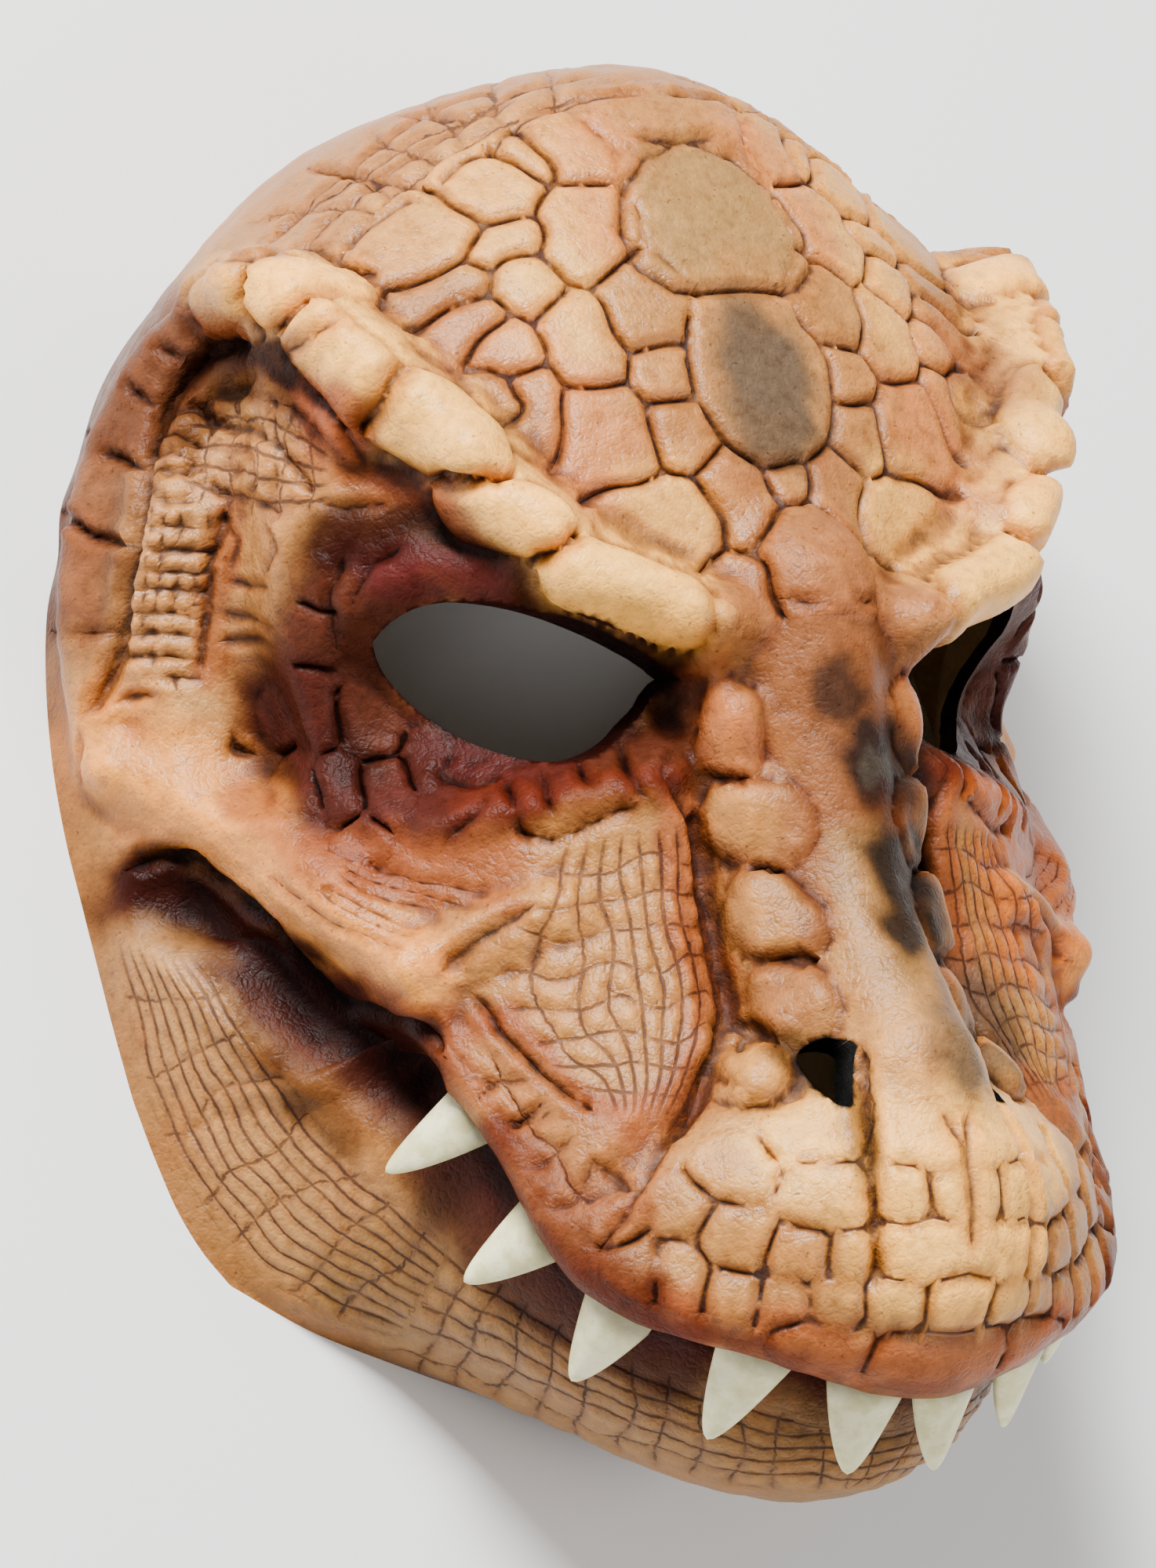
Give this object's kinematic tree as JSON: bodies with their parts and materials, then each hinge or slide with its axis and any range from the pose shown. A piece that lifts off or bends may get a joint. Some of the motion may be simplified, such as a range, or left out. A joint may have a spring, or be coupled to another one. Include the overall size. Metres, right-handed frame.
{
  "type": "reptile half mask",
  "caption": "Half mask of cast latex shaped as a reptile's face: scaled forehead, knobbed brows, long snout, open eye holes and nostrils, and separate teeth along the upper lip.",
  "frame": {"origin": "middle of the underside's bounding box, in the plane of the rim that the mask lies on", "axes": "+Z the way the face looks, +Y from chin to crown, +X to the viewer's right as the face is looked at"},
  "size_m": [0.1808, 0.2429, 0.1018],
  "materials": {
    "skin": "satin painted latex",
    "teeth": "matte"
  },
  "bodies": {
    "root": {"skin": "skin", "tooth_right_1": "teeth", "tooth_right_2": "teeth", "tooth_right_3": "teeth", "tooth_right_4": "teeth", "tooth_right_5": "teeth", "tooth_left_1": "teeth", "tooth_left_2": "teeth", "tooth_left_3": "teeth", "tooth_left_4": "teeth", "tooth_left_5": "teeth"}
  },
  "joints": []
}
